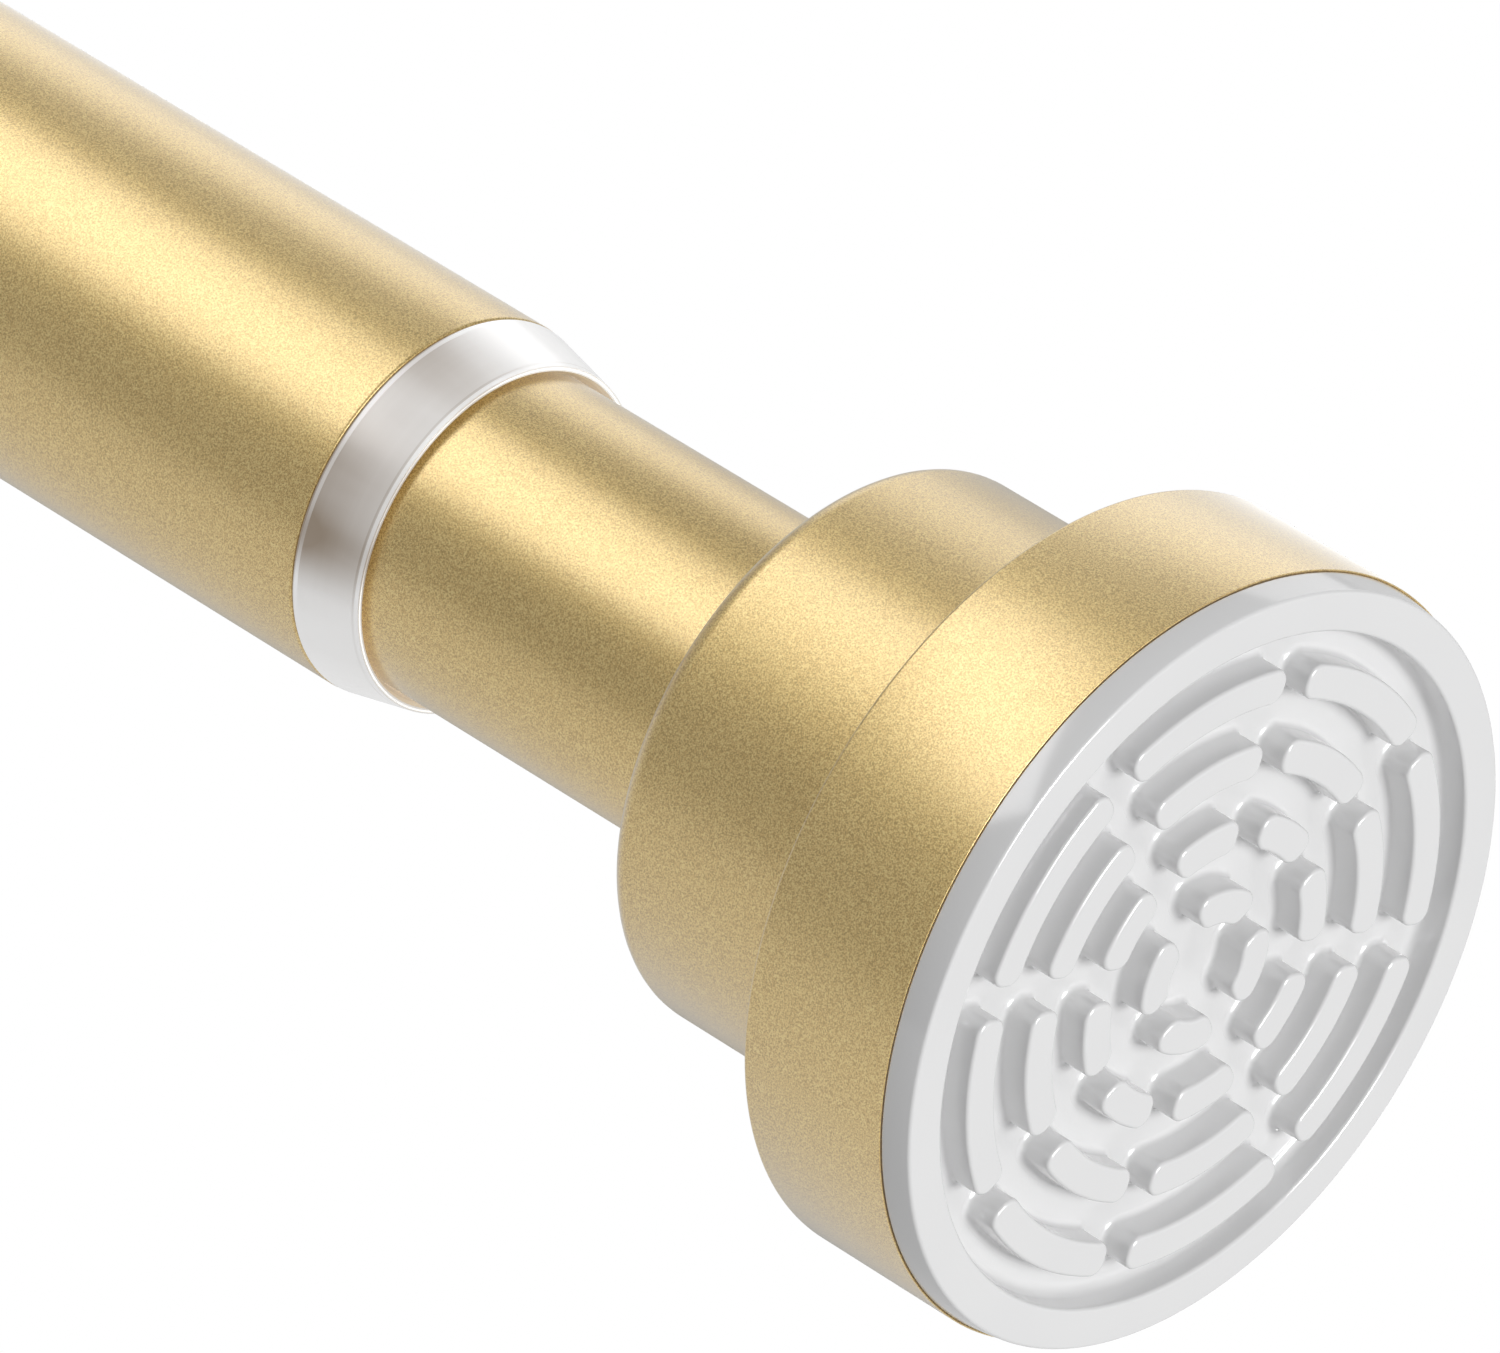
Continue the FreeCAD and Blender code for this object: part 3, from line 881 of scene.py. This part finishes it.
@dataclass
class EndCap:
    """Two-step moulded end cap with its tube socket and webs."""

    end: End
    body: Body
    tube_radius: float
    collar_radius: float = 18.54 * MM
    rim_rounding: float = 0.05 * MM
    pad_setback: float = 0.44 * MM
    groove_depth: float = 0.22 * MM
    groove_overlap: float = 0.1 * MM
    disc_depth: float = 11.3 * MM
    disc_rounding: float = 0.3 * MM
    collar_rounding: float = 1.5 * MM
    corner_rounding: float = 0.6 * MM
    bore_rounding: float = 0.3 * MM
    wall: float = 2.2 * MM
    mouth_wall: float = 2.5 * MM
    socket_wall: float = 2.0 * MM
    socket_clearance: float = 0.05 * MM
    floor_recess: float = 7.0 * MM
    floor: float = 2.5 * MM
    hole_radius: float = 2.25 * MM
    web_count: int = 8
    web_thickness: float = 1.6 * MM
    web_setback: float = 0.5 * MM
    segments: int = 224

    def build(self, finish: bpy.types.Material, tree: bpy.types.NodeTree) -> bpy.types.Object:
        """Makes and dresses the cap.

        Args:
            finish: The gold coat.
            tree: The tree that repeats the webs.

        Returns:
            The cap.
        """
        node = f"{self.end.name.lower()}_cap"
        low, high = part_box(node)
        inward = self.end.value
        rim = low[0] if self.end is End.FIXED else high[0]
        back = high[0] if self.end is End.FIXED else low[0]
        disc_radius = radius_of(node)
        mouth_radius = disc_radius - self.mouth_wall
        pad_radius = disc_radius - self.pad_setback
        disc_back = rim + inward * self.disc_depth
        disc_inner = disc_back - inward * self.wall
        collar_inner = back - inward * self.wall
        floor_front = rim + inward * self.floor_recess
        floor_back = floor_front + inward * self.floor
        bore = self.tube_radius + self.socket_clearance
        socket = bore + self.socket_wall
        inside = self.collar_radius - self.wall
        line = outline(
            (rim, mouth_radius), (rim, pad_radius - self.groove_overlap),
            (rim + inward * self.groove_depth, pad_radius), (rim, disc_radius, self.rim_rounding),
            (disc_back, disc_radius, self.disc_rounding),
            (disc_back, self.collar_radius, self.corner_rounding),
            (back, self.collar_radius, self.collar_rounding), (back, bore, self.bore_rounding),
            (floor_back, bore), (floor_back, self.hole_radius),
            (floor_front, self.hole_radius), (floor_front, socket),
            (collar_inner, socket), (collar_inner, inside),
            (disc_inner, inside), (disc_inner, mouth_radius))
        piece = new_object(f"{node}_shell",
                           lambda solid: turn_outline(solid, line, self.segments))
        web_front = floor_front + inward * self.web_setback
        profile = [(web_front, socket), (collar_inner, socket), (collar_inner, inside),
                   (disc_inner, inside), (disc_inner, mouth_radius), (web_front, mouth_radius)]
        web = new_object("web", lambda solid: self._plate(solid, profile))
        webs = repeat_round_axis(
            web, tree, {"Count": self.web_count, "First Angle": 0.0, "Finish": finish})
        join_meshes(piece, [webs])
        fit_out(piece, self.body, Slot.GOLD_CAP, finish, node)
        return piece

    def _plate(self, solid: bmesh.types.BMesh, profile: Outline) -> None:
        """One flat web between the socket and the walls.

        Args:
            solid: The mesh that takes it.
            profile: Its outline, as place and radius.
        """
        sides = []
        for side in (-self.web_thickness / 2, self.web_thickness / 2):
            sides.append([solid.verts.new((place, side, radius)) for place, radius in profile])
        near, far = sides
        solid.faces.new(near)
        solid.faces.new(far)
        for index in range(len(profile)):
            other = (index + 1) % len(profile)
            solid.faces.new((near[index], near[other], far[other], far[index]))


@dataclass
class WallPad:
    """Rubber pad with a raised rim and rows of short ribs."""

    end: End
    body: Body
    stand: float = 2.0 * MM
    seat_flare: float = 0.30 * MM
    rim_width: float = 2.66 * MM
    edge_rounding: float = 0.25 * MM
    flare_rounding: float = 0.05 * MM
    recess_depth: float = 2.2 * MM
    floor_fillet: float = 0.8 * MM
    plug_clearance: float = 0.1 * MM
    mouth_wall: float = 2.5 * MM
    rib_width: float = 2.3 * MM
    rib_gap: float = 2.1 * MM
    rib_corner: float = 0.95 * MM
    rib_rounding: float = 0.24 * MM
    rib_foot: float = 0.4 * MM
    rib_skirt: float = 0.12 * MM
    rib_lift: float = 0.004 * MM
    rib_root: float = 0.05 * MM
    first_row_radius: float = 4.3 * MM
    row_pitch: float = 4.85 * MM
    row_counts: tuple[int, ...] = (4, 8, 8, 8)
    pole_radius: float = 0.2 * MM
    segments: int = 224
    arc_steps: int = 20
    corner_steps: int = 8
    levels: int = 6
    sharp_degrees: float = 40.0

    def build(self, finish: bpy.types.Material, tree: bpy.types.NodeTree) -> bpy.types.Object:
        """Makes and dresses the pad.

        Args:
            finish: The rubber.
            tree: The tree that repeats the ribs.

        Returns:
            The pad.
        """
        node = f"{self.end.name.lower()}_pad"
        low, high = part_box(node)
        inward = self.end.value
        face = low[0] if self.end is End.FIXED else high[0]
        back = high[0] if self.end is End.FIXED else low[0]
        radius = radius_of(node)
        floor = face + inward * self.recess_depth
        seat = face + inward * self.stand
        plug = radius_of(f"{self.end.name.lower()}_cap") - self.mouth_wall - self.plug_clearance
        line = outline(
            (floor, self.pole_radius), (floor, radius - self.rim_width, self.floor_fillet),
            (face, radius - self.rim_width, self.edge_rounding),
            (face, radius, self.edge_rounding),
            (seat, radius + self.seat_flare, self.flare_rounding), (seat, plug),
            (back, plug, self.edge_rounding), (back, self.pole_radius))
        piece = new_object(f"{node}_shell", lambda solid: self._base(solid, line))
        rows = []
        for row, count in enumerate(self.row_counts):
            row_radius = self.first_row_radius + row * self.row_pitch
            rib = new_object(
                "rib", lambda solid: self._rib(solid, row_radius, count, floor, inward))
            turn = inward * math.pi / count / 2 if row == 0 else 0.0
            rows.append(repeat_round_axis(
                rib, tree, {"Count": count, "First Angle": turn, "Finish": finish}))
        join_meshes(piece, rows, self.sharp_degrees)
        fit_out(piece, self.body, Slot.PALE_RUBBER, finish, node)
        return piece

    def _base(self, solid: bmesh.types.BMesh, line: Outline) -> None:
        """The turned base, with its two poles closed.

        Args:
            solid: The mesh that takes it.
            line: Its outline, which starts and ends at the pole radius.
        """
        turn_outline(solid, line, self.segments)
        inside_poles = [
            edge for edge in solid.edges
            if all(math.hypot(v.co.y, v.co.z) < 1.5 * self.pole_radius for v in edge.verts)
            and abs(edge.verts[0].co.x - edge.verts[1].co.x) > self.pole_radius]
        bmesh.ops.delete(solid, geom=inside_poles, context="EDGES")
        open_edges = [edge for edge in solid.edges if edge.is_boundary]
        bmesh.ops.holes_fill(solid, edges=open_edges, sides=self.segments)

    def _plan(self, row_radius: float, count: int, spread: float) -> Outline:
        """Plan of a rib that follows its row's circle and has rounded corners.

        Args:
            row_radius: Radius of the rib's middle line.
            count: Ribs in the row.
            spread: How far the plan is grown on all sides.

        Returns:
            Points in the wall's plane, centred on +Y, as many for every spread.
        """
        gap_angle = math.pi / count
        corner = self.rib_corner + spread
        turns = [0.0, gap_angle + math.pi / 2, math.pi]
        half = []
        for number, side in enumerate((1, -1)):
            ring = row_radius + side * (self.rib_width / 2 - self.rib_corner)
            around = gap_angle - math.asin((self.rib_gap / 2 + self.rib_corner) / ring)
            first = turns[number] + (around if side > 0 else 0.0)
            last = turns[number + 1] + (around if side < 0 else 0.0)
            for step in range(self.corner_steps + 1):
                angle = first + (last - first) * step / self.corner_steps
                half.append((ring * math.cos(around) + corner * math.cos(angle),
                             ring * math.sin(around) + corner * math.sin(angle)))
        mirrored = [(y, -z) for y, z in reversed(half)]
        outer_side = self._along_row(mirrored[-1], half[0])
        inner_side = self._along_row(half[-1], mirrored[0])
        return outer_side + half + inner_side + mirrored

    def _along_row(self, start: tuple[float, float], end: tuple[float, float]) -> Outline:
        """Points between two places on a circle round the axis.

        Args:
            start: The first place.
            end: The last place.

        Returns:
            The points between them.
        """
        reach = math.hypot(*start)
        first, last = (math.atan2(z, y) for y, z in (start, end))
        points = []
        for step in range(1, self.arc_steps):
            angle = first + (last - first) * step / self.arc_steps
            points.append((reach * math.cos(angle), reach * math.sin(angle)))
        return points

    def _rib(self, solid: bmesh.types.BMesh, row_radius: float, count: int, floor: float,
             inward: int) -> None:
        """One rib with a filleted foot and a rounded top edge.

        Args:
            solid: The mesh that takes it.
            row_radius: Radius of its row.
            count: Ribs in the row.
            floor: Place of the recess floor along the rod.
            inward: The way into the rod along X.
        """
        skirt = self.rib_foot + self.rib_skirt
        section = [(skirt, -self.rib_root), (skirt, self.rib_lift)]
        turns = [math.pi / 2 * level / self.levels for level in range(self.levels + 1)]
        for turn in turns:
            section.append((self.rib_foot * (1 - math.sin(turn)),
                            self.rib_lift + self.rib_foot * (1 - math.cos(turn))))
        for turn in turns:
            section.append((-self.rib_rounding * (1 - math.cos(turn)),
                            self.recess_depth - self.rib_rounding * (1 - math.sin(turn))))
        section.append((-self.rib_rounding - self.rib_root, self.recess_depth))
        loops = []
        for spread, height in section:
            plan = self._plan(row_radius, count, spread)
            loops.append([solid.verts.new((floor - inward * height, y, z)) for y, z in plan])
        for lower, upper in zip(loops, loops[1:]):
            for index in range(len(lower)):
                other = (index + 1) % len(lower)
                solid.faces.new((lower[index], lower[other], upper[other], upper[index]))
        solid.faces.new(loops[0])
        solid.faces.new(loops[-1])


@dataclass
class InnerWorks:
    """The twist lock, spring and fasteners, which keep their CAD meshes."""

    finishes: dict[Slot, bpy.types.Material] = field(default_factory=dict)
    spring_joint: str = "spring_travel"

    def dress(self) -> None:
        """Gives each CAD node that still shows the finish of its slot."""
        for part in frame["record"]["subparts"]:
            finish = self.finishes.get(Slot(part["material_slot"]))
            if finish is None:
                continue
            mesh = frame["nodes"][part["node"]].data
            mesh.materials.clear()
            mesh.materials.append(finish)
            LOG.info("%s: dressed as %s", part["node"], finish.name)

    def seat_spring(self) -> None:
        """Works out the share of its length that the spring keeps at its joint's limit, and gives the spring its
        own mesh.
        """
        front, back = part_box("spring")[0][0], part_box("spring")[1][0]
        limits = next(joint["range_m"] for joint in frame["joints"]
                      if joint["name"] == self.spring_joint)
        kept = 1 - max(abs(limit) for limit in limits) / (back - front)
        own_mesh(frame["nodes"]["spring"])
        LOG.info("spring: shortens to %.3f of its length", kept)


@dataclass(frozen=True)
class Softbox:
    """One rectangular studio lamp.

    Args:
        name: The lamp's name.
        direction: From the studio's aim towards the lamp.
        distance: How far away it is, in metres.
        size: Its width and height in metres.
        power: Its power in watts.
    """

    name: str
    direction: tuple[float, float, float]
    distance: float
    size: tuple[float, float]
    power: float


@dataclass
class Studio:
    """Floor, pale world, soft lamps and camera.

    Args:
        aim: Centre of the sliding pad's face, which the lamps face and the camera is set out from.
    """

    aim: Vector
    floor_drop: float = 1.6
    floor_size: float = 40.0
    world_grey: float = 0.31
    mirrored_grey: float = 0.36
    azimuth: float = 45.3
    elevation: float = 36.96
    distance: float = 1.01761
    aim_right: float = 26.83 * MM
    aim_below: float = 17.40 * MM
    focal_length: float = 416.08
    sensor_width: float = 36.0
    lamps: tuple[Softbox, ...] = (
        Softbox("key_softbox", (-0.50, -0.18, 0.82), 1.4, (1.3, 0.46), 4.5),
        Softbox("back_softbox", (-0.55, 0.80, 0.25), 1.6, (1.5, 0.8), 3.6),
        Softbox("end_softbox", (0.95, 0.02, 0.25), 1.5, (0.6, 0.6), 18.2),
        Softbox("fixed_end_lamp", (-1.0, 0.0, 0.0), 1.45, (0.04, 0.04), 2.2),
    )

    def build(self) -> None:
        """Makes the floor, the world, the lamps and the camera."""
        self._floor()
        self._world()
        for lamp in self.lamps:
            self._lamp(lamp)
        self._camera()

    def _floor(self) -> None:
        """The pale floor far below the rod, with its face up."""
        half = self.floor_size / 2
        height = self.aim.z - self.floor_drop

        def square(solid: bmesh.types.BMesh) -> None:
            """Fills the mesh with one square."""
            corners = [(-half, -half), (half, -half), (half, half), (-half, half)]
            solid.faces.new([solid.verts.new((x, y, height)) for x, y in corners])

        floor = new_object("studio_floor", square)
        if floor.data.polygons[0].normal.z < 0:
            floor.data.flip_normals()
        floor.data.materials.append(StudioFloor().make())

    def _world(self) -> None:
        """Soft light from all round; the camera sees white."""
        world = bpy.data.worlds.new("studio")
        bpy.context.scene.world = world
        sky = Shading(world)
        strength: Socket | float = self.world_grey
        for kind, level in (("Is Glossy Ray", self.mirrored_grey), ("Is Transmission Ray", 1.0),
                            ("Is Camera Ray", 1.0)):
            strength = sky.node("ShaderNodeMix", {"data_type": "FLOAT"}, {
                "Factor_Float": sky.node("ShaderNodeLightPath", output=kind),
                "A_Float": strength, "B_Float": level}, "Result_Float")
        light = sky.node("ShaderNodeBackground", None, {"Color": WHITE, "Strength": strength})
        sky.node("ShaderNodeOutputWorld", None, {"Surface": light})

    def _lamp(self, lamp: Softbox) -> None:
        """One lamp that faces the studio's aim.

        Args:
            lamp: Its sizes and power.
        """
        light = bpy.data.lights.new(lamp.name, "AREA")
        light.shape = "RECTANGLE"
        light.size, light.size_y = lamp.size
        light.energy = lamp.power
        place = self.aim + Vector(lamp.direction).normalized() * lamp.distance
        made = bpy.data.objects.new(lamp.name, light)
        towards = (self.aim - place).to_track_quat("-Z", "Y")
        made.matrix_world = Matrix.Translation(place) @ towards.to_matrix().to_4x4()
        bpy.context.scene.collection.objects.link(made)

    def _camera(self) -> None:
        """The camera of the photograph's view."""
        around, above = math.radians(self.azimuth), math.radians(self.elevation)
        forward = Vector((-math.sin(around) * math.cos(above), math.cos(around) * math.cos(above),
                          -math.sin(above)))
        right = forward.cross(Vector((0, 0, 1))).normalized()
        up = right.cross(forward)
        place = self.aim - forward * self.distance - right * self.aim_right + up * self.aim_below
        data = bpy.data.cameras.new("camera")
        data.lens = self.focal_length
        data.sensor_width = self.sensor_width
        data.sensor_fit = "HORIZONTAL"
        camera = bpy.data.objects.new("camera", data)
        turn = Matrix((right, up, -forward)).transposed()
        camera.matrix_world = Matrix.Translation(place) @ turn.to_4x4()
        bpy.context.scene.collection.objects.link(camera)
        bpy.context.scene.camera = camera


def main() -> None:
    """Builds the studio, the rod's tubes, ring, caps and pads, and dresses what is inside."""
    logging.basicConfig(level=logging.INFO, format="%(name)s: %(message)s")
    bpy.context.scene.view_settings.view_transform = "Standard"
    pad_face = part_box("sliding_pad")[1][0]
    Studio(aim=Vector((pad_face, 0.0, 0.0))).build()

    gold = GoldCoat().make()
    rubber = PaleRubber().make()
    pattern = pattern_tree("round_the_rod")
    outer_radius, inner_radius = radius_of("outer_tube"), radius_of("inner_tube")
    outer = Tube("outer_tube", Body.OUTER_HALF, wall=0.8 * MM)
    outer.build(gold)
    Tube("inner_tube", Body.INNER_HALF, wall=0.7 * MM).build(gold)
    ring = MouthRing(inner_radius, outer_radius - outer.wall)
    seat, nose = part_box("outer_tube")[1][0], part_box("mouth_ring")[1][0]
    ring.build(ClearPlastic(seat, nose, ring.lip_radius).make())
    for end, body, radius in ((End.FIXED, Body.OUTER_HALF, outer_radius),
                              (End.SLIDING, Body.INNER_HALF, inner_radius)):
        EndCap(end, body, radius).build(gold, pattern)
        WallPad(end, body).build(rubber, pattern)

    works = InnerWorks({
        Slot.WHITE_PLASTIC: MouldedPlastic("white_moulded_plastic", (0.78, 0.78, 0.75)).make(),
        Slot.GREY_PLASTIC: MouldedPlastic("grey_moulded_plastic", (0.20, 0.20, 0.21)).make(),
        Slot.STEEL: TurnedSteel("zinc_plated_steel", (0.66, 0.67, 0.68)).make(),
        Slot.SPRING_STEEL: TurnedSteel(
            "oiled_spring_steel", (0.30, 0.30, 0.31), roughness=0.34).make(),
    })
    works.dress()
    works.seat_spring()


if __name__ == "__main__":
    main()
